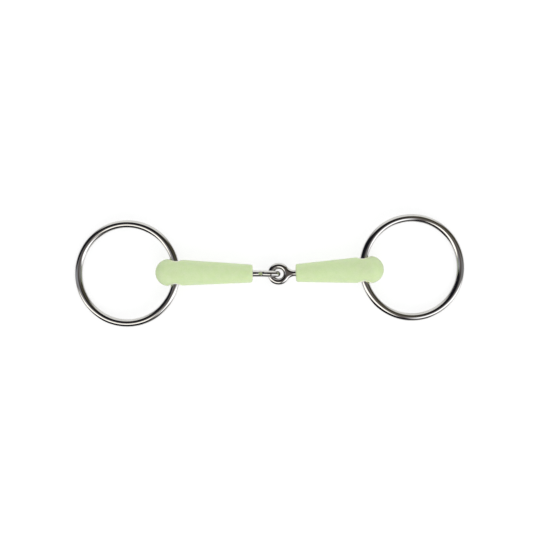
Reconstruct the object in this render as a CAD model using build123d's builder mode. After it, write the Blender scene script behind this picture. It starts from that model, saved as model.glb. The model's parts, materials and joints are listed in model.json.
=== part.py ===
from build123d import *
from math import acos, asin, atan2, cos, degrees, hypot, radians, sin, sqrt
import os

# Single-jointed loose-ring snaffle bit with moulded cannons, lying on a floor.
#
# X runs along the mouthpiece, Y along the ring holes and Z up. The origin is on the floor, under
# the middle of the whole bit. Lengths are in millimetres and angles in degrees.

os.makedirs("parts", exist_ok=True)

# ---- Driving dimensions ----

# Loose rings
ring_outside = 75.0         # outside diameter
ring_wire = 5.4             # diameter of the round wire

# Moulded cannon covers
ball_diameter = 19.0        # rounded outer end
ball_to_hole = 4.2          # ball centre to ring hole centre
small_end = 12.5            # diameter of the end beside the joint
end_round = 1.2             # rounding of the small end's rim
end_crown = 0.4             # bulge of the small end's face
ring_play = 1.35            # ring wire to ring hole wall, each side
mouth_round = 0.75          # rounding of each ring hole's mouth
left_cover_length = 54.5    # ring hole centre to small end
right_cover_length = 48.1

# Forged steel cores
eye_bar = 4.5               # thickness of the bar in the eyes and necks
eye_hole = 6.6              # hole through each eye
neck_length = 11.85         # cover's small end to eye centre
neck_flare = 6.0            # radius of the concave flare from neck to eye
eye_play = 0.35             # gap between the two linked eyes
rod_diameter = 6.6          # rod inside the cover
rod_setback = 2.5           # rod's end to the cover's small end
key_depth = 0.7             # grooves that key the cover to the rod
key_width = 2.4
key_pitch = 7.0
hole_lining = 1.2           # moulding between ring hole and lug
lug_cover = 1.9             # moulding round the outside of the lug
lug_width = 4.7             # lug along the ring hole

# How the pieces lie: each far end is turned towards +Y by these angles
left_arm_turn = 0.75
right_arm_turn = 2.65
left_ring_turn = -1.2
right_ring_turn = 2.9

# The wire is curved where it passes the hole, so its middle stands inboard of the hole's axis
# by this share of the curve's rise.
wire_inset_share = 0.75

# ---- Sizes that follow ----

ring_radius = (ring_outside - ring_wire) / 2       # to the wire's centre line
ring_hole = ring_wire + 2 * ring_play
lug_bore = ring_hole + 2 * hole_lining
lug_outside = ball_diameter - 2 * lug_cover
eye_radius = (eye_hole + eye_bar) / 2              # to the bar's centre line
eye_outside = eye_hole + 2 * eye_bar
eye_edge_round = 0.49 * eye_bar                    # leaves the bar all but round
eye_spacing = 2 * eye_radius - eye_bar - eye_play  # between the two eye centres
hole_half_length = ball_diameter / 2 - mouth_round
wire_rise = ring_radius - sqrt(ring_radius**2 - hole_half_length**2)
wire_inset = wire_inset_share * wire_rise


def direction(turn, dip):
    """Unit vector turned from +X about Z, and pointing down by dip."""
    level = cos(radians(dip))
    return Vector(level * cos(radians(turn)), level * sin(radians(turn)), -sin(radians(dip)))


class Half:
    """One half of the bit: a cannon that slopes down to its eye, and the ring in its outer end."""

    def __init__(self, cover_length, inward_turn, outward_turn, eye_centre):
        self.cover_length = cover_length
        self.eye_at = cover_length + neck_length

        # The ball and the standing eye both touch the floor.
        drop = (ball_diameter - eye_outside) / 2
        slope = degrees(asin(drop / (self.eye_at + ball_to_hole)))
        along = direction(inward_turn, slope)
        across = direction(inward_turn + 90, 0)
        self.hole_centre = eye_centre - along * self.eye_at
        self.flat = Plane(self.hole_centre, x_dir=along, z_dir=along.cross(across))
        self.upright = Plane(self.hole_centre, x_dir=along, z_dir=across * -1)
        self.long_axis = Axis(self.hole_centre, along)

        # The ring hangs on its hole and its far side lies on the floor.
        reach = 2 * ring_radius - wire_inset
        ring_dip = degrees(asin((self.hole_centre.Z - ring_wire / 2) / reach))
        outward = direction(outward_turn, ring_dip)
        self.swing = direction(outward_turn + 90, 0)
        self.ring_centre = self.hole_centre + outward * (ring_radius - wire_inset)
        self.ring_section = Plane(self.ring_centre, x_dir=outward, z_dir=self.swing)
        self.ring_axis = Axis(self.ring_centre, outward.cross(self.swing))

    def ring_edge(self, way):
        """The furthest point of the ring along a level direction, measured from the origin."""
        lean = self.ring_axis.direction.dot(way)
        half_width = ring_radius * sqrt(1 - lean**2) + ring_wire / 2
        return self.ring_centre.dot(way) + half_width


def lay_out(joint):
    """The left and right halves, with the left eye's centre at joint."""
    left = Half(left_cover_length, -left_arm_turn, 180 - left_ring_turn, joint)
    right_eye = joint + Vector(eye_spacing, 0, 0)
    right = Half(right_cover_length, 180 + right_arm_turn, right_ring_turn, right_eye)
    return left, right


def centred_joint():
    """The left eye's centre that puts the middle of the whole bit over the origin."""
    left, right = lay_out(Vector(0, 0, eye_outside / 2))
    along_x, along_y = Vector(1, 0, 0), Vector(0, 1, 0)
    middle_x = (right.ring_edge(along_x) - left.ring_edge(-along_x)) / 2
    top = max(left.ring_edge(along_y), right.ring_edge(along_y))
    bottom = max(left.ring_edge(-along_y), right.ring_edge(-along_y))
    return Vector(-middle_x, (bottom - top) / 2, eye_outside / 2)


def make_ring(half, name):
    """Round steel wire closed into a ring."""
    with BuildPart() as ring:
        with BuildSketch(half.ring_section):
            with Locations((ring_radius, 0)):
                Circle(ring_wire / 2)
        revolve(axis=half.ring_axis)
    ring.part.label = name
    export_step(ring.part, f"parts/{name}.step")
    return ring


def make_core(half, eye_plane, name):
    """Forged eye and neck, the keyed rod inside the cover, and the lug round the ring hole."""
    rod_end = half.cover_length - rod_setback
    with BuildPart() as core:
        # Eye and neck, cut from plate as thick as the bar and rounded until the bar is round
        with BuildSketch(eye_plane) as eye:
            neck = half.eye_at - rod_end + rod_setback
            with Locations((half.eye_at, 0)):
                Circle(eye_outside / 2)
                Rectangle(neck, eye_bar, align=(Align.MAX, Align.CENTER))
            fillet(eye.vertices().group_by(Axis.X)[1], neck_flare)
            with Locations((half.eye_at, 0)):
                Circle(eye_hole / 2, mode=Mode.SUBTRACT)
        extrude(amount=eye_bar / 2, both=True)
        broad_faces = core.faces().filter_by(eye_plane)
        neck_end = core.faces().filter_by(half.long_axis)
        fillet(broad_faces.edges() - neck_end.edges(), eye_edge_round)

        # Rod with its key grooves, from the middle of the lug's wall to just short of the small end
        with BuildSketch(half.upright):
            with BuildLine():
                start = (lug_bore + lug_outside) / 4
                profile = [(start, 0), (start, rod_diameter / 2)]
                groove = start + key_pitch
                while groove + key_width < rod_end - key_width:
                    profile += [
                        (groove, rod_diameter / 2),
                        (groove, rod_diameter / 2 - key_depth),
                        (groove + key_width, rod_diameter / 2 - key_depth),
                        (groove + key_width, rod_diameter / 2),
                    ]
                    groove += key_pitch
                profile += [(rod_end, rod_diameter / 2), (rod_end, 0)]
                Polyline(*profile, close=True)
            make_face()
        revolve(axis=half.long_axis)

        # Lug
        with BuildSketch(half.upright):
            Circle(lug_outside / 2)
            Circle(lug_bore / 2, mode=Mode.SUBTRACT)
        extrude(amount=lug_width / 2, both=True)
    core.part.label = name
    export_step(core.part, f"parts/{name}.step")
    return core


def make_cover(half, core, name):
    """Moulded cannon: a ball that runs on as a cone, with a rounded hole for the ring."""
    rim = (half.cover_length - end_crown, small_end / 2)
    ball_radius = ball_diameter / 2

    # Where the cone leaves the ball, as an angle at the ball's centre
    run = rim[0] + ball_to_hole
    leave = degrees(atan2(rim[1], run) + acos(ball_radius / hypot(run, rim[1])))

    with BuildPart() as cover:
        with BuildSketch(half.upright) as profile:
            with BuildLine():
                ball = CenterArc((-ball_to_hole, 0), ball_radius, leave, 180 - leave)
                Line(ball @ 0, rim)
                face = TangentArc((half.cover_length, 0), rim, tangent=(0, 1))
                Line(ball @ 1, face @ 0)
            make_face()
            fillet(profile.vertices().sort_by(Axis.X)[-2], end_round)
        revolve(axis=half.long_axis)

        with BuildSketch(half.upright):
            Circle(ring_hole / 2)
        extrude(amount=ball_diameter, both=True, mode=Mode.SUBTRACT)
        hole_wall = cover.faces().filter_by(GeomType.CYLINDER)
        fillet(hole_wall.edges().filter_by(GeomType.LINE, reverse=True), mouth_round)

        add(core.part, mode=Mode.SUBTRACT)
    cover.part.label = name
    export_step(cover.part, f"parts/{name}.step")
    return cover


left_half, right_half = lay_out(centred_joint())

left_ring = make_ring(left_half, "left_ring")
right_ring = make_ring(right_half, "right_ring")

# The left eye stands on edge and the right eye lies flat, so each passes through the other.
left_core = make_core(left_half, left_half.upright, "left_core")
right_core = make_core(right_half, right_half.flat, "right_core")

left_cover = make_cover(left_half, left_core, "left_cover")
right_cover = make_cover(right_half, right_core, "right_cover")
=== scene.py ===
import json
import math
from collections import namedtuple

import bpy
import numpy as np
from mathutils import Matrix, Vector


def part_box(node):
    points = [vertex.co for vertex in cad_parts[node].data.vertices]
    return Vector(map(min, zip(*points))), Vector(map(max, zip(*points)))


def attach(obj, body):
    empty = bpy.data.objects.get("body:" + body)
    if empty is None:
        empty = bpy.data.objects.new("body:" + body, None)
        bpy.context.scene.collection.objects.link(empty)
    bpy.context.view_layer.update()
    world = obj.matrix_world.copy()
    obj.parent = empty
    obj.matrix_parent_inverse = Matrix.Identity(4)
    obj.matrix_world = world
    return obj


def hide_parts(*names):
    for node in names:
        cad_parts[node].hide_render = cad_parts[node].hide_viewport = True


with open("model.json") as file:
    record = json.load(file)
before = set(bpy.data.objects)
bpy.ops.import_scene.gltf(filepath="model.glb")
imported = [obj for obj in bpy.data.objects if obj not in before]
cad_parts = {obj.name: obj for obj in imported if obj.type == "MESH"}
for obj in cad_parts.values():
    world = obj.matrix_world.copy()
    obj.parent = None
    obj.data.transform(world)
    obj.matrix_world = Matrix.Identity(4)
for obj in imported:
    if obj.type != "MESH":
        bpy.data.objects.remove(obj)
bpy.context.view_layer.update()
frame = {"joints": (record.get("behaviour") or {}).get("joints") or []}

bl_info = {
    "name": "Loose-Ring Snaffle Bit",
    "version": (1, 0, 0),
    "blender": (4, 5, 0),
    "location": "View3D > Sidebar > Snaffle Bit",
    "description": "Builds a single-jointed loose-ring snaffle bit and its studio",
    "category": "Object",
}

MM = 0.001
UP = Vector((0, 0, 1))


# ---- Settings ----


class RingSettings(bpy.types.PropertyGroup):
    """Sizes of the loose rings"""

    outside: bpy.props.FloatProperty(
        name="Outside", description="Outside diameter of each loose ring",
        default=75 * MM, unit="LENGTH")
    wire: bpy.props.FloatProperty(
        name="Wire", description="Diameter of the round wire",
        default=5.4 * MM, unit="LENGTH")
    play: bpy.props.FloatProperty(
        name="Play", description="Wire to the wall of the hole that it runs in, each side",
        default=1.35 * MM, unit="LENGTH")
    weld_height: bpy.props.FloatProperty(
        name="Weld Height", description="How far the dressed weld stands proud of the wire",
        default=0.05 * MM, unit="LENGTH")
    weld_length: bpy.props.FloatProperty(
        name="Weld Length", description="Length of the dressed weld along the wire",
        default=2.2 * MM, unit="LENGTH")
    left_weld: bpy.props.FloatProperty(
        name="Left Weld", description="Where the left ring's weld is, round from the far side",
        default=math.radians(144), unit="ROTATION")
    right_weld: bpy.props.FloatProperty(
        name="Right Weld", description="Where the right ring's weld is, round from the far side",
        default=math.radians(78), unit="ROTATION")


class CannonSettings(bpy.types.PropertyGroup):
    """Sizes and colours of the moulded cannons"""

    ball: bpy.props.FloatProperty(
        name="Ball", description="Diameter of the rounded outer end",
        default=19 * MM, unit="LENGTH")
    ball_to_hole: bpy.props.FloatProperty(
        name="Ball To Hole", description="Ball centre to ring hole centre",
        default=4.2 * MM, unit="LENGTH")
    small_end: bpy.props.FloatProperty(
        name="Small End", description="Diameter of the end beside the joint",
        default=12.5 * MM, unit="LENGTH")
    end_round: bpy.props.FloatProperty(
        name="End Round", description="Rounding of the small end's rim",
        default=1.2 * MM, unit="LENGTH")
    end_crown: bpy.props.FloatProperty(
        name="End Crown", description="Bulge of the small end's face",
        default=0.4 * MM, unit="LENGTH")
    mouth_round: bpy.props.FloatProperty(
        name="Mouth Round", description="Rounding of the ring hole's mouths",
        default=0.75 * MM, unit="LENGTH")
    left_length: bpy.props.FloatProperty(
        name="Left Length", description="Left ring hole to small end",
        default=54.5 * MM, unit="LENGTH")
    right_length: bpy.props.FloatProperty(
        name="Right Length", description="Right ring hole to small end",
        default=48.1 * MM, unit="LENGTH")
    hole_lining: bpy.props.FloatProperty(
        name="Hole Lining", description="Moulding between the ring hole and the core's lug",
        default=1.2 * MM, unit="LENGTH")
    lug_cover: bpy.props.FloatProperty(
        name="Lug Cover", description="Moulding round the outside of the core's lug",
        default=1.9 * MM, unit="LENGTH")
    seam_height: bpy.props.FloatProperty(
        name="Seam Height", description="Height of the fine seam that the mould leaves",
        default=0.04 * MM, unit="LENGTH")
    seam_width: bpy.props.FloatProperty(
        name="Seam Width", description="Half the width of the mould's seam",
        default=0.2 * MM, unit="LENGTH")
    cell: bpy.props.FloatProperty(
        name="Cell", description="Size of the faces that the cannon is meshed with",
        default=0.3 * MM, unit="LENGTH")
    colour: bpy.props.FloatVectorProperty(
        name="Colour", description="Colour of the moulded cannons",
        default=(0.645, 0.760, 0.464), size=3, min=0, max=1, subtype="COLOR")
    deep_colour: bpy.props.FloatVectorProperty(
        name="Deep Colour", description="Colour of the darker flecks in the moulding",
        default=(0.579, 0.729, 0.378), size=3, min=0, max=1, subtype="COLOR")
    # Painted highlight: the pale colour on the ring hole's lips stands in for the light that their
    # rounded edges catch
    lip_highlight_colour: bpy.props.FloatVectorProperty(
        name="Lip Highlight Colour", description="Colour of the lips that the ring has rubbed",
        default=(0.890, 0.925, 0.710), size=3, min=0, max=1, subtype="COLOR")


class CoreSettings(bpy.types.PropertyGroup):
    """Sizes and colour of the steel cores"""

    bar: bpy.props.FloatProperty(
        name="Bar", description="Thickness of the bar in the eyes and necks",
        default=4.5 * MM, unit="LENGTH")
    eye_hole: bpy.props.FloatProperty(
        name="Eye Hole", description="Diameter of the hole through each eye",
        default=6.6 * MM, unit="LENGTH")
    neck: bpy.props.FloatProperty(
        name="Neck", description="The cannon's small end to the eye's centre",
        default=11.85 * MM, unit="LENGTH")
    flare: bpy.props.FloatProperty(
        name="Flare", description="Radius of the concave flare from neck to eye",
        default=6 * MM, unit="LENGTH")
    play: bpy.props.FloatProperty(
        name="Play", description="Gap between the two linked eyes",
        default=0.35 * MM, unit="LENGTH")
    rod: bpy.props.FloatProperty(
        name="Rod", description="Diameter of the rod inside the cannon",
        default=6.6 * MM, unit="LENGTH")
    rod_setback: bpy.props.FloatProperty(
        name="Rod Setback", description="The rod's end to the cannon's small end",
        default=2.5 * MM, unit="LENGTH")
    key_depth: bpy.props.FloatProperty(
        name="Key Depth", description="Depth of the grooves that key the cannon to the rod",
        default=0.7 * MM, unit="LENGTH")
    key_width: bpy.props.FloatProperty(
        name="Key Width", description="Width of each key groove",
        default=2.4 * MM, unit="LENGTH")
    key_pitch: bpy.props.FloatProperty(
        name="Key Pitch", description="Distance from one key groove to the next",
        default=7 * MM, unit="LENGTH")
    lug_width: bpy.props.FloatProperty(
        name="Lug Width", description="Width of the lug along the ring hole",
        default=4.7 * MM, unit="LENGTH")
    cell: bpy.props.FloatProperty(
        name="Cell", description="Size of the faces that the core is meshed with",
        default=0.22 * MM, unit="LENGTH")
    colour: bpy.props.FloatVectorProperty(
        name="Steel", description="Colour of the polished steel",
        default=(0.61, 0.60, 0.58), size=3, min=0, max=1, subtype="COLOR")


class StageSettings(bpy.types.PropertyGroup):
    """The camera, the floor and the light"""

    camera_height: bpy.props.FloatProperty(
        name="Camera Height", description="Height of the camera above the floor",
        default=0.9095, unit="LENGTH")
    camera_x: bpy.props.FloatProperty(
        name="Camera X", description="Where the camera stands along the mouthpiece",
        default=-2.17 * MM, unit="LENGTH")
    camera_y: bpy.props.FloatProperty(
        name="Camera Y", description="Where the camera stands across the mouthpiece",
        default=2.8 * MM, unit="LENGTH")
    lens: bpy.props.FloatProperty(
        name="Lens", description="Focal length of the camera, in millimetres",
        default=86.84, unit="CAMERA")
    level: bpy.props.FloatProperty(
        name="Level", description="Plain light from all round",
        default=0.80, min=0)
    softbox: bpy.props.FloatProperty(
        name="Softbox", description="Brightness of the softboxes",
        default=1.6, min=0)
    veil: bpy.props.FloatProperty(
        name="Floor Veil", description="How much of the floor and its shadows shows over white",
        default=0.28, min=0, max=1, subtype="FACTOR")


# ---- Fixed values ----

# Four-sided faces round each ring, and round its wire
RING_FACES, WIRE_FACES = 360, 48
# How far the meshing grid reaches past a solid, and the step that slopes are measured over, in cells
MARGIN_CELLS = 4.5
SLOPE_CELLS = 0.05
# Rounding of the eyes' edges as a share of the bar, so that the bar is nearly round
EYE_EDGE_SHARE = 0.49
# Rounding of the key grooves' edges, and of the lug's edges and the fillet to its rod
KEY_ROUND = 0.15 * MM
LUG_ROUND = 0.3 * MM

# Least values to divide by: a slope, and the sine of how far a direction leans from straight up
LEAST_SLOPE = 1e-12
LEAST_SINE = 0.001

# How much noise it takes for a mark to begin, and to be at its full strength
SMEAR_RANGE = (0.46, 0.72)
HAIR_RANGE = (0.5, 0.8)
FLECK_RANGE = (0.38, 0.62)
# Hair marks are drawn out along x
HAIR_STRETCH = (0.08, 1.0, 1.0)

# The floor's half width in metres, its colour and how much it glows where the camera sees it
FLOOR_REACH = 12.0
FLOOR_COLOUR = (0.93, 0.93, 0.93)
FLOOR_GLOW = 0.25
WHITE = (1.0, 1.0, 1.0, 1.0)

# A softbox has a place and a size in metres, and a share of the stage's softbox brightness
Softbox = namedtuple("Softbox", "name place size share")
SOFTBOXES = (
    Softbox("near_softbox", place=(0.28, -0.82, 0.70), size=(1.3, 0.55), share=1.15),
    Softbox("far_softbox", place=(0.15, 1.1, 0.45), size=(1.5, 0.5), share=0.55),
)

# What polished steel sees round it: the dark of the room, the pale floor that comes in between two
# leans from straight up, and panels laid over both in turn. A panel lies between two angles to the
# right of straight up and two towards the back, and its edge is how far its sides soften. All of
# these angles are in degrees.
ROOM_DARK = (0.165, 0.145, 0.135)
FLOOR_SEEN = (0.95, 0.95, 0.96)
HORIZON = (92, 116)
Panel = namedtuple("Panel", "left right front back edge colour")
PANELS = (
    Panel(left=24, right=112, front=-14, back=12, edge=16, colour=(0.30, 0.30, 0.31)),
    Panel(left=-112, right=-22, front=-14, back=10, edge=16, colour=(0.42, 0.43, 0.47)),
    Panel(left=-95, right=18, front=4, back=62, edge=14, colour=(0.009, 0.010, 0.015)),
    Panel(left=14, right=95, front=10, back=60, edge=20, colour=(0.080, 0.075, 0.048)),
    Panel(left=-58, right=62, front=56, back=110, edge=18, colour=(1.15, 1.15, 1.12)),
    Panel(left=-85, right=60, front=-114, back=-50, edge=12, colour=(0.11, 0.105, 0.105)),
    Panel(left=-85, right=16, front=-114, back=-50, edge=12, colour=(0.012, 0.012, 0.018)),
    Panel(left=-78, right=4, front=-46, back=-19, edge=10, colour=(2.05, 2.02, 1.92)),
    Panel(left=18, right=96, front=-54, back=-19, edge=15, colour=(2.05, 2.07, 2.14)),
)


# ---- Where things are ----


def joint(name):
    """One joint of the frame, by name."""
    return next(j for j in frame["joints"] if j["name"] == name)


class Half:
    """One half of the bit, in axes of its own: x inwards along the cannon, y along the ring hole."""

    def __init__(self, side, scene):
        rings, cannon, core = scene.snaffle_rings, scene.snaffle_cannons, scene.snaffle_cores
        self.side = side
        self.body = f"{side}_cannon"
        self.length = getattr(cannon, f"{side}_length")
        self.eye_at = self.length + core.neck
        self.ring_hole = rings.wire + 2 * rings.play
        self.lug_bore = self.ring_hole + 2 * cannon.hole_lining
        self.lug_outside = cannon.ball - 2 * cannon.lug_cover

        # The half's own axes start from the middle of its ring hole
        swing = joint(f"{side}_ring_swing")
        hole = Vector(swing["pos_m"])
        along = eye_centre(side, core) - hole
        self.place = Matrix.Translation(hole) @ axes(along, UP.cross(along))

        # The ring's axes start from its middle, with x pointing away from the hole
        low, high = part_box(f"{side}_ring")
        centre = (low + high) / 2
        self.ring_place = Matrix.Translation(centre) @ axes(centre - hole, Vector(swing["axis"]))


def axes(x_way, y_way):
    """A rotation whose x axis points one way, and whose y axis points as near the other as it can."""
    x_way = x_way.normalized()
    z_way = x_way.cross(y_way).normalized()
    y_way = z_way.cross(x_way)
    return Matrix((x_way, y_way, z_way)).transposed().to_4x4()


def eye_centre(side, core):
    """The middle of one eye. The fold's axis is the middle of the right eye's end bar."""
    bar_circle = (core.eye_hole + core.bar) / 2
    right_hole = Vector(joint("right_ring_swing")["pos_m"])
    pin = Vector(joint("centre_fold")["pos_m"])
    right_eye = pin - (pin - right_hole).normalized() * bar_circle
    if side == "right":
        return right_eye
    # The end bars hook past each other in the middle, a small play apart
    return right_eye - Vector((2 * bar_circle - core.bar - core.play, 0, 0))


# ---- Solids as distance fields: below zero inside, above zero outside ----


def rounded_cut(a, b, radius):
    """What two fields have in common, with the edge between them rounded."""
    corner = np.hypot(np.maximum(a + radius, 0), np.maximum(b + radius, 0))
    return np.minimum(np.maximum(a, b), -radius) + corner


def rounded_join(a, b, radius):
    """Two fields joined, with a hollow fillet between them."""
    corner = np.hypot(np.maximum(radius - a, 0), np.maximum(radius - b, 0))
    return np.maximum(np.minimum(a, b), radius) - corner


def cannon_field(half, cannon, core):
    """The moulded cannon: ball, cone and crowned end, less the ring hole and the core's space."""
    core_space = core_field(half, core)
    ball_radius = cannon.ball / 2
    rim_x, rim_radius = half.length - cannon.end_crown, cannon.small_end / 2
    run = rim_x + cannon.ball_to_hole
    # The cone leaves the ball, as a tangent, at this angle from the axis
    leave = math.atan2(rim_radius, run) + math.acos(ball_radius / math.hypot(run, rim_radius))
    # The crowned face is part of a ball of this radius
    face_radius = (rim_radius**2 + cannon.end_crown**2) / (2 * cannon.end_crown)

    def field(x, y, z):
        out = np.hypot(y, z)
        from_ball = x + cannon.ball_to_hole
        ball = np.hypot(from_ball, out) - ball_radius
        cone = from_ball * math.cos(leave) + out * math.sin(leave) - ball_radius
        on_cone = from_ball * math.sin(leave) - out * math.cos(leave) > 0
        skin = np.where(on_cone, cone, ball)
        skin = skin - cannon.seam_height * np.exp(-(z / cannon.seam_width) ** 2)
        from_face = np.maximum(x - half.length + face_radius, 0)
        end = np.hypot(from_face, out) - face_radius
        body = rounded_cut(skin, end, cannon.end_round)
        hole = half.ring_hole / 2 - np.hypot(x, z)
        body = rounded_cut(body, hole, cannon.mouth_round)
        return np.maximum(body, -core_space(x, y, z))

    return field


def mouth_highlight_and_rub(half, cannon):
    """Each point's share of painted highlight and worn gloss: most on the lips of the hole's two
    mouths.
    """
    lip = half.ring_hole / 2 + cannon.mouth_round

    def rubbed(x, y, z):
        return np.exp(-((np.hypot(x, z) - lip) / cannon.mouth_round) ** 2)

    return rubbed


def core_field(half, core):
    """The steel core: eye, neck, keyed rod and lug."""
    eye_radius = core.eye_hole / 2 + core.bar
    # The flare's arc touches the neck's side and the eye's rim, and this is its centre from the eye's
    flare_y = core.bar / 2 + core.flare
    flare_x = -math.sqrt((eye_radius + core.flare) ** 2 - flare_y**2)
    rod_end = half.length - core.rod_setback
    neck_start = rod_end - core.rod_setback
    # The rod starts half way through the lug's wall, and the keys fit between its two ends
    rod_start = (half.lug_bore + half.lug_outside) / 4
    keys = int((rod_end - rod_start - 2 * core.key_width) / core.key_pitch)

    def eye_and_neck(x, y, z):
        # The left eye stands on edge and the right eye lies flat
        wide, thick = (z, y) if half.side == "left" else (y, z)
        along, wide = x - half.eye_at, abs(wide)
        from_eye = np.hypot(along, wide)
        neck = np.maximum(wide - core.bar / 2, along)
        outline = np.minimum(from_eye - eye_radius, neck)
        hollow = core.flare - np.hypot(along - flare_x, wide - flare_y)
        in_flare = (along > flare_x) & (along * flare_y < wide * flare_x)
        outline = np.where(in_flare, hollow, outline)
        outline = np.maximum(outline, core.eye_hole / 2 - from_eye)
        outline = np.maximum(outline, neck_start - x)
        return rounded_cut(outline, abs(thick) - core.bar / 2, EYE_EDGE_SHARE * core.bar)

    def keyed_rod(x, y, z):
        out = np.hypot(y, z)
        rod = np.maximum(out - core.rod / 2, np.maximum(rod_start - x, x - rod_end))
        number, into = np.divmod(x - rod_start, core.key_pitch)
        across = abs(into - core.key_width / 2) - core.key_width / 2
        groove = np.maximum(across, core.rod / 2 - core.key_depth - out)
        # Where there's no key, the groove's field stays well above zero
        groove = np.where((number >= 1) & (number <= keys), groove, core.key_pitch)
        return rounded_cut(rod, -groove, KEY_ROUND)

    def lug(x, y, z):
        out = np.hypot(x, z)
        wall = np.maximum(out - half.lug_outside / 2, half.lug_bore / 2 - out)
        return rounded_cut(wall, abs(y) - core.lug_width / 2, LUG_ROUND)

    def field(x, y, z):
        shank = rounded_join(keyed_rod(x, y, z), lug(x, y, z), LUG_ROUND)
        return np.minimum(shank, eye_and_neck(x, y, z))

    return field


def gradient(field, points, step):
    """The field's slope at each point, as unit vectors."""
    slopes = []
    for axis in range(3):
        ahead, behind = points.copy(), points.copy()
        ahead[:, axis] += step
        behind[:, axis] -= step
        slopes.append(field(*ahead.T) - field(*behind.T))
    slopes = np.stack(slopes, axis=1)
    return slopes / np.maximum(np.linalg.norm(slopes, axis=1, keepdims=True), LEAST_SLOPE)


def net_of(field, low, high, cell):
    """Points and four-sided faces on the surface where the field is zero, one point a cell."""
    margin = MARGIN_CELLS * cell
    lines = [np.arange(low[a] - margin, high[a] + margin + cell, cell) for a in range(3)]
    inside = np.empty([len(line) for line in lines], bool)
    grid_y, grid_z = np.meshgrid(lines[1], lines[2], indexing="ij")
    for i, x in enumerate(lines[0]):
        inside[i] = field(np.full_like(grid_y, x), grid_y, grid_z) < 0

    # A cell gets a point where some of its 8 corners are inside and some aren't
    size_x, size_y, size_z = (len(line) - 1 for line in lines)
    count = sum(inside[i:size_x + i, j:size_y + j, k:size_z + k].astype(int)
                for i in (0, 1) for j in (0, 1) for k in (0, 1))
    cells = np.argwhere((count > 0) & (count < 8))
    number = np.full(count.shape, -1)
    number[tuple(cells.T)] = np.arange(len(cells))
    points = np.array([line[0] for line in lines]) + (cells + 0.5) * cell

    # A grid edge with one end inside gets a face, between the points of the 4 cells round it
    faces = []
    for axis in range(3):
        second, third = (axis + 1) % 3, (axis + 2) % 3
        near = np.take(inside, range(inside.shape[axis] - 1), axis)
        far = np.take(inside, range(1, inside.shape[axis]), axis)
        for start, end, way in ((near, far, 1), (far, near, -1)):
            at = np.argwhere(start & ~end)
            at = at[(at[:, second] > 0) & (at[:, third] > 0)]
            corners = []
            for back_second, back_third in ((1, 1), (0, 1), (0, 0), (1, 0))[::way]:
                corner = at.copy()
                corner[:, second] -= back_second
                corner[:, third] -= back_third
                corners.append(number[tuple(corner.T)])
            faces.append(np.stack(corners, axis=1))
    return points, np.concatenate(faces)


def settle(field, points, faces, cell, rounds=6, ease=0.6, landings=2):
    """Eases each point towards the middle of those next to it, then lands it on the surface again."""
    edges = np.concatenate([faces[:, [i, (i + 1) % 4]] for i in range(4)])
    edges = np.concatenate([edges, edges[:, ::-1]])
    near = np.bincount(edges[:, 0], minlength=len(points))[:, None]
    for _ in range(rounds):
        total = np.stack([np.bincount(edges[:, 0], points[edges[:, 1], a], len(points))
                          for a in range(3)], axis=1)
        points = points + ease * (total / np.maximum(near, 1) - points)
        for _ in range(landings):
            slope = gradient(field, points, SLOPE_CELLS * cell)
            points = points - field(*points.T)[:, None] * slope
    return points


def smooth_piece(name, points, faces):
    """A smooth mesh object in the scene."""
    mesh = bpy.data.meshes.new(name)
    mesh.from_pydata(points, [], faces)
    mesh.polygons.foreach_set("use_smooth", [True] * len(mesh.polygons))
    piece = bpy.data.objects.new(name, mesh)
    bpy.context.scene.collection.objects.link(piece)
    return piece


def solid_piece(name, field, low, high, cell, place, rubbed=None):
    """A mesh object of the surface where the field is zero, with each point's painted highlight and
    wear.
    """
    points, faces = net_of(field, low, high, cell)
    points = settle(field, points, faces, cell)
    normals = gradient(field, points, SLOPE_CELLS * cell)
    turn = np.array(place.to_3x3())
    placed = points @ turn.T + np.array(place.translation)
    piece = smooth_piece(name, placed.tolist(), faces.tolist())
    if rubbed:
        # Stores the mask that paints the lips' highlight and marks their gloss worn by the ring
        wear = piece.data.attributes.new("rubbed", "FLOAT", "POINT")
        wear.data.foreach_set("value", rubbed(*points.T))
    piece.data.normals_split_custom_set_from_vertices((normals @ turn.T).tolist())
    piece.data.validate()
    return piece


def ring_net(rings, weld_at, place):
    """Points and four-sided faces of round wire that is closed into a ring by a dressed weld."""
    middle = (rings.outside - rings.wire) / 2
    points, faces = [], []
    for i in range(RING_FACES):
        turn = math.tau * i / RING_FACES
        from_weld = middle * abs(math.remainder(turn - weld_at, math.tau))
        swell = rings.weld_height * math.exp(-(from_weld / rings.weld_length) ** 2)
        this, following = i * WIRE_FACES, (i + 1) % RING_FACES * WIRE_FACES
        for j in range(WIRE_FACES):
            # The weld is proud on the ring's outside and inside, and flush above and below
            roll = math.tau * j / WIRE_FACES
            radius = rings.wire / 2 + swell * math.cos(roll) ** 2
            out, height = middle + radius * math.cos(roll), radius * math.sin(roll)
            points.append(place @ Vector((out * math.cos(turn), out * math.sin(turn), height)))
            step = (j + 1) % WIRE_FACES
            faces.append((this + j, following + j, following + step, this + step))
    return points, faces


# ---- Finishes ----


# A Mix node gives several sockets the same name, so they go by number: the share, the two values
# that it goes between, and what comes out
MIX_SOCKETS = {"FLOAT": (0, 2, 3, 0), "RGBA": (0, 6, 7, 2)}


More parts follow.
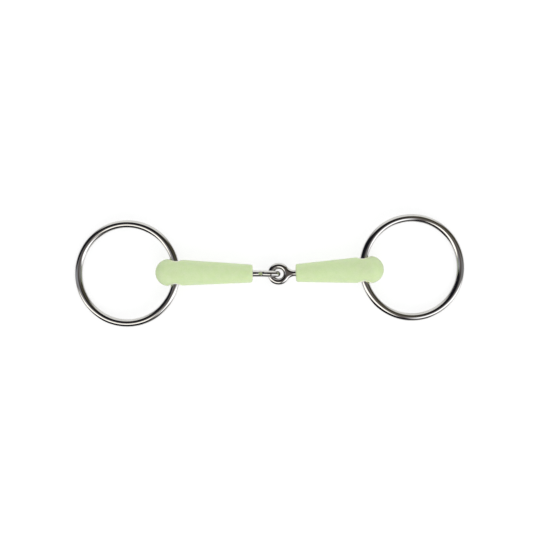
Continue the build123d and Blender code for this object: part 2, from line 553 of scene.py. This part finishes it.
class Nodes:
    """Adds nodes to one tree, and links them as they are made."""

    def __init__(self, tree):
        self.tree = tree
        tree.nodes.clear()

    def add(self, kind, sockets=None, **settings):
        """A node with its settings, and with a link or a constant for each socket that is given."""
        node = self.tree.nodes.new(kind)
        for key, value in settings.items():
            setattr(node, key, value)
        for socket, value in (sockets or {}).items():
            if isinstance(value, bpy.types.NodeSocket):
                self.tree.links.new(value, node.inputs[socket])
            else:
                node.inputs[socket].default_value = value
        return node

    def maths(self, operation, first, second=0.0):
        """The result of one maths operation on one or two values."""
        node = self.add("ShaderNodeMath", {0: first, 1: second}, operation=operation)
        return node.outputs[0]

    def blend(self, share, first, second, kind="RGBA"):
        """What goes from the first to the second as the share goes from nought to one."""
        share_at, first_at, second_at, result_at = MIX_SOCKETS[kind]
        sockets = {share_at: share, first_at: first, second_at: second}
        return self.add("ShaderNodeMix", sockets, data_type=kind).outputs[result_at]

    def noise(self, **sockets):
        """Noise round one half."""
        return self.add("ShaderNodeTexNoise", sockets).outputs[0]

    def bump(self, height, strength, distance):
        """The normal of a surface with that much relief."""
        values = {"Height": height, "Strength": strength, "Distance": distance}
        return self.add("ShaderNodeBump", values).outputs[0]

    def ramp(self, value, from_low, from_high, to_low=0.0, to_high=1.0):
        """A smooth step between two values, held outside them."""
        node = self.add("ShaderNodeMapRange", {
            "Value": value, "From Min": from_low, "From Max": from_high,
            "To Min": to_low, "To Max": to_high}, interpolation_type="SMOOTHSTEP")
        return node.outputs[0]

    def span(self, value, low, high, edge):
        """One between low and high and nought outside, with edges that soften over that much."""
        rise = self.ramp(value, low - edge / 2, low + edge / 2)
        fall = self.ramp(value, high - edge / 2, high + edge / 2, 1.0, 0.0)
        return self.maths("MULTIPLY", rise, fall)


def colour(values):
    """A colour with its alpha."""
    return (*values, 1.0)


def group(name, inputs, outputs):
    """An empty shader node group with named number sockets, and defaults for its inputs."""
    tree = bpy.data.node_groups.new(name, "ShaderNodeTree")
    nodes = Nodes(tree)
    for socket, default in inputs:
        made = tree.interface.new_socket(socket, in_out="INPUT", socket_type="NodeSocketFloat")
        made.default_value = default
    for socket in outputs:
        tree.interface.new_socket(socket, in_out="OUTPUT", socket_type="NodeSocketFloat")
    start = nodes.add("NodeGroupInput")
    end = nodes.add("NodeGroupOutput")
    return tree, nodes, start.outputs, end.inputs


def polish_marks():
    """Fine hair marks and faint smears that polishing and handling leave on a surface."""
    tree, nodes, given, put = group(
        "Polish Marks",
        [("Roughness", 0.07), ("Smear", 0.06), ("Smear Scale", 160.0), ("Hair", 0.03),
         ("Hair Scale", 2500.0)],
        ["Roughness", "Height"])
    where = nodes.add("ShaderNodeTexCoord").outputs["Object"]
    smears = nodes.noise(Vector=where, Scale=given["Smear Scale"], Detail=5.0, Distortion=0.6)
    smeared = nodes.maths("MULTIPLY", nodes.ramp(smears, *SMEAR_RANGE), given["Smear"])
    drawn = nodes.add("ShaderNodeMapping", {"Vector": where, "Scale": HAIR_STRETCH}).outputs[0]
    hairs = nodes.noise(Vector=drawn, Scale=given["Hair Scale"], Detail=3.0)
    scored = nodes.maths("MULTIPLY", nodes.ramp(hairs, *HAIR_RANGE), given["Hair"])
    rough = nodes.maths("ADD", nodes.maths("ADD", given["Roughness"], smeared), scored)
    tree.links.new(rough, put["Roughness"])
    tree.links.new(hairs, put["Height"])
    return tree


def fleck():
    """A mask of soft uneven flecks of two sizes, and the finer ones alone as a grain."""
    tree, nodes, given, put = group(
        "Fleck", [("Coarse Scale", 120.0), ("Fine Scale", 900.0), ("Fine Share", 0.5)],
        ["Mask", "Grain"])
    where = nodes.add("ShaderNodeTexCoord").outputs["Object"]
    coarse = nodes.noise(Vector=where, Scale=given["Coarse Scale"], Detail=4.0)
    fine = nodes.noise(Vector=where, Scale=given["Fine Scale"], Detail=2.0, Roughness=0.6)
    mixed = nodes.blend(given["Fine Share"], coarse, fine, kind="FLOAT")
    tree.links.new(nodes.ramp(mixed, *FLECK_RANGE), put["Mask"])
    tree.links.new(fine, put["Grain"])
    return tree


def material(name, plain):
    """A new material and its nodes, with values for the shader's sockets that are plain all over."""
    made = bpy.data.materials.new(name)
    made.use_nodes = True
    nodes = Nodes(made.node_tree)
    shader = nodes.add("ShaderNodeBsdfPrincipled", plain)
    nodes.add("ShaderNodeOutputMaterial", {"Surface": shader.outputs[0]})
    return made, nodes, shader.inputs


def place_group(nodes, tree, values):
    """Puts a node group into a material, with values of its own."""
    return nodes.add("ShaderNodeGroup", values, node_tree=tree).outputs


def steel(name, tint, marks, flecks, roughness, smear, fleck_shade=0.93):
    """Polished stainless steel with hair marks, smears and a slight unevenness of colour."""
    made, nodes, shader = material(name, {"Metallic": 1.0})
    links = nodes.tree.links
    wander = place_group(nodes, flecks, {
        "Coarse Scale": 90.0, "Fine Scale": 500.0, "Fine Share": 0.25})
    darker = colour([fleck_shade * part for part in tint])
    links.new(nodes.blend(wander["Mask"], colour(tint), darker), shader["Base Color"])
    marked = place_group(nodes, marks, {"Roughness": roughness, "Smear": smear})
    links.new(marked["Roughness"], shader["Roughness"])
    links.new(nodes.bump(marked["Height"], strength=0.03, distance=0.01 * MM), shader["Normal"])
    return made


def moulding(cannon, marks, flecks, fleck_share=0.6, lip_highlight_share=0.85, rubbed_gloss=0.16):
    """Semi-matt moulded plastic with flecks and grain, and a painted highlight on the hole's lips,
    which the ring has worn glossy.
    """
    made, nodes, shader = material("cannon_green", {
        "IOR": 1.46, "Specular IOR Level": 0.35, "Subsurface Weight": 0.45,
        "Subsurface Radius": (1.0, 1.2, 0.5), "Subsurface Scale": 4 * MM})
    links = nodes.tree.links
    wander = place_group(nodes, flecks, {
        "Coarse Scale": 260.0, "Fine Scale": 1100.0, "Fine Share": 0.5})
    share = nodes.maths("MULTIPLY", wander["Mask"], fleck_share)
    tint = nodes.blend(share, colour(cannon.colour), colour(cannon.deep_colour))
    # The lips' paler colour is a painted highlight; their lower roughness is gloss worn by the ring
    rubbed = nodes.add("ShaderNodeAttribute", attribute_name="rubbed").outputs["Fac"]
    pale = nodes.maths("MULTIPLY", rubbed, lip_highlight_share)
    links.new(nodes.blend(pale, tint, colour(cannon.lip_highlight_colour)), shader["Base Color"])
    marked = place_group(nodes, marks, {"Roughness": 0.50, "Smear": 0.08, "Smear Scale": 110.0})
    gloss = nodes.maths("MULTIPLY", rubbed, rubbed_gloss)
    links.new(nodes.maths("SUBTRACT", marked["Roughness"], gloss), shader["Roughness"])
    links.new(nodes.bump(wander["Grain"], strength=0.25, distance=0.05 * MM), shader["Normal"])
    return made


def finish_named(name):
    """A finish that an earlier operator made."""
    return bpy.data.materials[name]


# ---- Operators ----


class SNAFFLE_OT_finishes(bpy.types.Operator):
    """Make the steel and moulded finishes"""

    bl_idname = "snaffle.finishes"
    bl_label = "Make Finishes"

    def execute(self, context):
        scene = context.scene
        marks, flecks = polish_marks(), fleck()
        tint = scene.snaffle_cores.colour
        steel("ring_polish", tint, marks, flecks, roughness=0.035, smear=0.04)
        steel("core_polish", tint, marks, flecks, roughness=0.05, smear=0.05)
        moulding(scene.snaffle_cannons, marks, flecks)
        return {"FINISHED"}


class SNAFFLE_OT_rings(bpy.types.Operator):
    """Build the two loose rings"""

    bl_idname = "snaffle.rings"
    bl_label = "Build Loose Rings"

    def execute(self, context):
        scene = context.scene
        rings = scene.snaffle_rings
        for side in ("left", "right"):
            half = Half(side, scene)
            points, faces = ring_net(rings, getattr(rings, f"{side}_weld"), half.ring_place)
            piece = smooth_piece(f"{side}_loose_ring", points, faces)
            piece.data.materials.append(finish_named("ring_polish"))
            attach(piece, f"{side}_loose_ring")
            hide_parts(f"{side}_ring")
        return {"FINISHED"}


class SNAFFLE_OT_cores(bpy.types.Operator):
    """Build the two linked steel cores"""

    bl_idname = "snaffle.cores"
    bl_label = "Build Steel Cores"

    def execute(self, context):
        scene = context.scene
        core = scene.snaffle_cores
        for side in ("left", "right"):
            half = Half(side, scene)
            reach = core.eye_hole / 2 + core.bar
            low = (-half.lug_outside / 2, -reach, -reach)
            high = (half.eye_at + reach, reach, reach)
            piece = solid_piece(f"{side}_steel_core", core_field(half, core), low, high,
                                core.cell, half.place)
            piece.data.materials.append(finish_named("core_polish"))
            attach(piece, half.body)
            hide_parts(f"{side}_core")
        return {"FINISHED"}


class SNAFFLE_OT_cannons(bpy.types.Operator):
    """Build the two moulded cannons"""

    bl_idname = "snaffle.cannons"
    bl_label = "Build Moulded Cannons"

    def execute(self, context):
        scene = context.scene
        cannon = scene.snaffle_cannons
        for side in ("left", "right"):
            half = Half(side, scene)
            reach = cannon.ball / 2
            low = (-cannon.ball_to_hole - reach, -reach, -reach)
            high = (half.length, reach, reach)
            field = cannon_field(half, cannon, scene.snaffle_cores)
            piece = solid_piece(f"{side}_moulded_cannon", field, low, high,
                                cannon.cell, half.place, mouth_highlight_and_rub(half, cannon))
            piece.data.materials.append(finish_named("cannon_green"))
            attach(piece, half.body)
            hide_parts(f"{side}_cover")
        return {"FINISHED"}


class SNAFFLE_OT_stage(bpy.types.Operator):
    """Lay the pale floor, set the studio light and place the camera"""

    bl_idname = "snaffle.stage"
    bl_label = "Set The Stage"

    def execute(self, context):
        scene = context.scene
        stage = scene.snaffle_stage
        self.floor(scene, stage)
        self.studio(scene, stage)
        self.lamps(scene, stage)
        self.camera(scene, stage)
        scene.view_settings.view_transform = "Standard"
        return {"FINISHED"}

    def floor(self, scene, stage):
        """A wide pale floor, which the camera sees as a thin veil over white."""
        mesh = bpy.data.meshes.new("studio_floor")
        corners = [(x * FLOOR_REACH, y * FLOOR_REACH, 0) for x, y in
                   ((-1, -1), (1, -1), (1, 1), (-1, 1))]
        mesh.from_pydata(corners, [], [(0, 1, 2, 3)])
        floor = bpy.data.objects.new("studio_floor", mesh)
        scene.collection.objects.link(floor)
        made, nodes, shader = material("studio_floor", {
            "Roughness": 1.0, "Specular IOR Level": 0.0, "Base Color": colour(FLOOR_COLOUR),
            "Emission Color": WHITE})
        # Through the veil shadows stay pale, and what swings below the floor still shows
        links = nodes.tree.links
        seen = nodes.add("ShaderNodeLightPath").outputs["Is Camera Ray"]
        links.new(nodes.ramp(seen, 0.0, 1.0, 1.0, stage.veil), shader["Alpha"])
        links.new(nodes.maths("MULTIPLY", seen, FLOOR_GLOW), shader["Emission Strength"])
        mesh.materials.append(made)
        # Polished steel sees the room's own floor below the horizon instead
        floor.visible_glossy = False

    def studio(self, scene, stage):
        """Plain light all round, and for polished steel the room."""
        world = bpy.data.worlds.new("studio")
        world.use_nodes = True
        scene.world = world
        nodes = Nodes(world.node_tree)
        rays = nodes.add("ShaderNodeLightPath").outputs
        seen = nodes.maths("MAXIMUM", rays["Is Camera Ray"], rays["Is Transmission Ray"])
        plain = nodes.blend(seen, colour([stage.level] * 3), WHITE)
        tint = nodes.blend(rays["Is Glossy Ray"], plain, self.room(nodes))
        light = nodes.add("ShaderNodeBackground", {"Color": tint, "Strength": 1.0})
        nodes.add("ShaderNodeOutputWorld", {"Surface": light.outputs[0]})

    def room(self, nodes):
        """The room's colour in each direction."""
        way = nodes.add("ShaderNodeTexCoord").outputs["Generated"]
        x, y, z = nodes.add("ShaderNodeSeparateXYZ", {0: way}).outputs
        # How far a direction leans from straight up, and its shares to the right and to the back
        angle = nodes.maths("ARCCOSINE", z)
        lean = nodes.maths("DEGREES", angle)
        sine = nodes.maths("MAXIMUM", nodes.maths("SINE", angle), LEAST_SINE)
        right = nodes.maths("MULTIPLY", nodes.maths("DIVIDE", x, sine), lean)
        back = nodes.maths("MULTIPLY", nodes.maths("DIVIDE", y, sine), lean)
        room = nodes.blend(nodes.ramp(lean, *HORIZON), colour(ROOM_DARK), colour(FLOOR_SEEN))
        for panel in PANELS:
            across = nodes.span(right, panel.left, panel.right, panel.edge)
            deep = nodes.span(back, panel.front, panel.back, panel.edge)
            share = nodes.maths("MULTIPLY", across, deep)
            room = nodes.blend(share, room, colour(panel.colour))
        return room

    def lamps(self, scene, stage):
        """Softboxes aimed at the bit. Polished steel doesn't see them."""
        for softbox in SOFTBOXES:
            lamp = bpy.data.lights.new(softbox.name, "AREA")
            lamp.shape = "RECTANGLE"
            width, height = softbox.size
            lamp.size, lamp.size_y = width, height
            # A panel of this radiance gives out pi times as many watts for each square metre
            lamp.energy = math.pi * width * height * stage.softbox * softbox.share
            made = bpy.data.objects.new(softbox.name, lamp)
            made.location = softbox.place
            made.rotation_euler = (-Vector(softbox.place)).to_track_quat("-Z", "Y").to_euler()
            made.visible_glossy = False
            scene.collection.objects.link(made)

    def camera(self, scene, stage):
        """The camera, looking straight down."""
        camera = bpy.data.cameras.new("camera")
        camera.lens = stage.lens
        made = bpy.data.objects.new("camera", camera)
        made.location = (stage.camera_x, stage.camera_y, stage.camera_height)
        scene.collection.objects.link(made)
        scene.camera = made


class SNAFFLE_PT_panel(bpy.types.Panel):
    """Lists the snaffle bit's settings and steps"""

    bl_idname = "SNAFFLE_PT_panel"
    bl_label = "Snaffle Bit"
    bl_space_type = "VIEW_3D"
    bl_region_type = "UI"
    bl_category = "Snaffle Bit"

    def draw(self, context):
        for operator, settings in STEPS:
            box = self.layout.box()
            box.operator(operator)
            if settings:
                values = getattr(context.scene, settings)
                for key in values.__annotations__:
                    box.prop(values, key)


SETTINGS = {
    "snaffle_rings": RingSettings,
    "snaffle_cores": CoreSettings,
    "snaffle_cannons": CannonSettings,
    "snaffle_stage": StageSettings,
}
STEPS = (
    ("snaffle.stage", "snaffle_stage"),
    ("snaffle.finishes", None),
    ("snaffle.rings", "snaffle_rings"),
    ("snaffle.cores", "snaffle_cores"),
    ("snaffle.cannons", "snaffle_cannons"),
)
CLASSES = (
    *SETTINGS.values(),
    SNAFFLE_OT_stage,
    SNAFFLE_OT_finishes,
    SNAFFLE_OT_rings,
    SNAFFLE_OT_cores,
    SNAFFLE_OT_cannons,
    SNAFFLE_PT_panel,
)


def register():
    for cls in CLASSES:
        bpy.utils.register_class(cls)
    for name, settings in SETTINGS.items():
        setattr(bpy.types.Scene, name, bpy.props.PointerProperty(type=settings))


def unregister():
    for name in SETTINGS:
        delattr(bpy.types.Scene, name)
    for cls in reversed(CLASSES):
        bpy.utils.unregister_class(cls)


def main():
    register()
    bpy.ops.snaffle.stage()
    bpy.ops.snaffle.finishes()
    bpy.ops.snaffle.rings()
    bpy.ops.snaffle.cores()
    bpy.ops.snaffle.cannons()


if __name__ == "__main__":
    main()
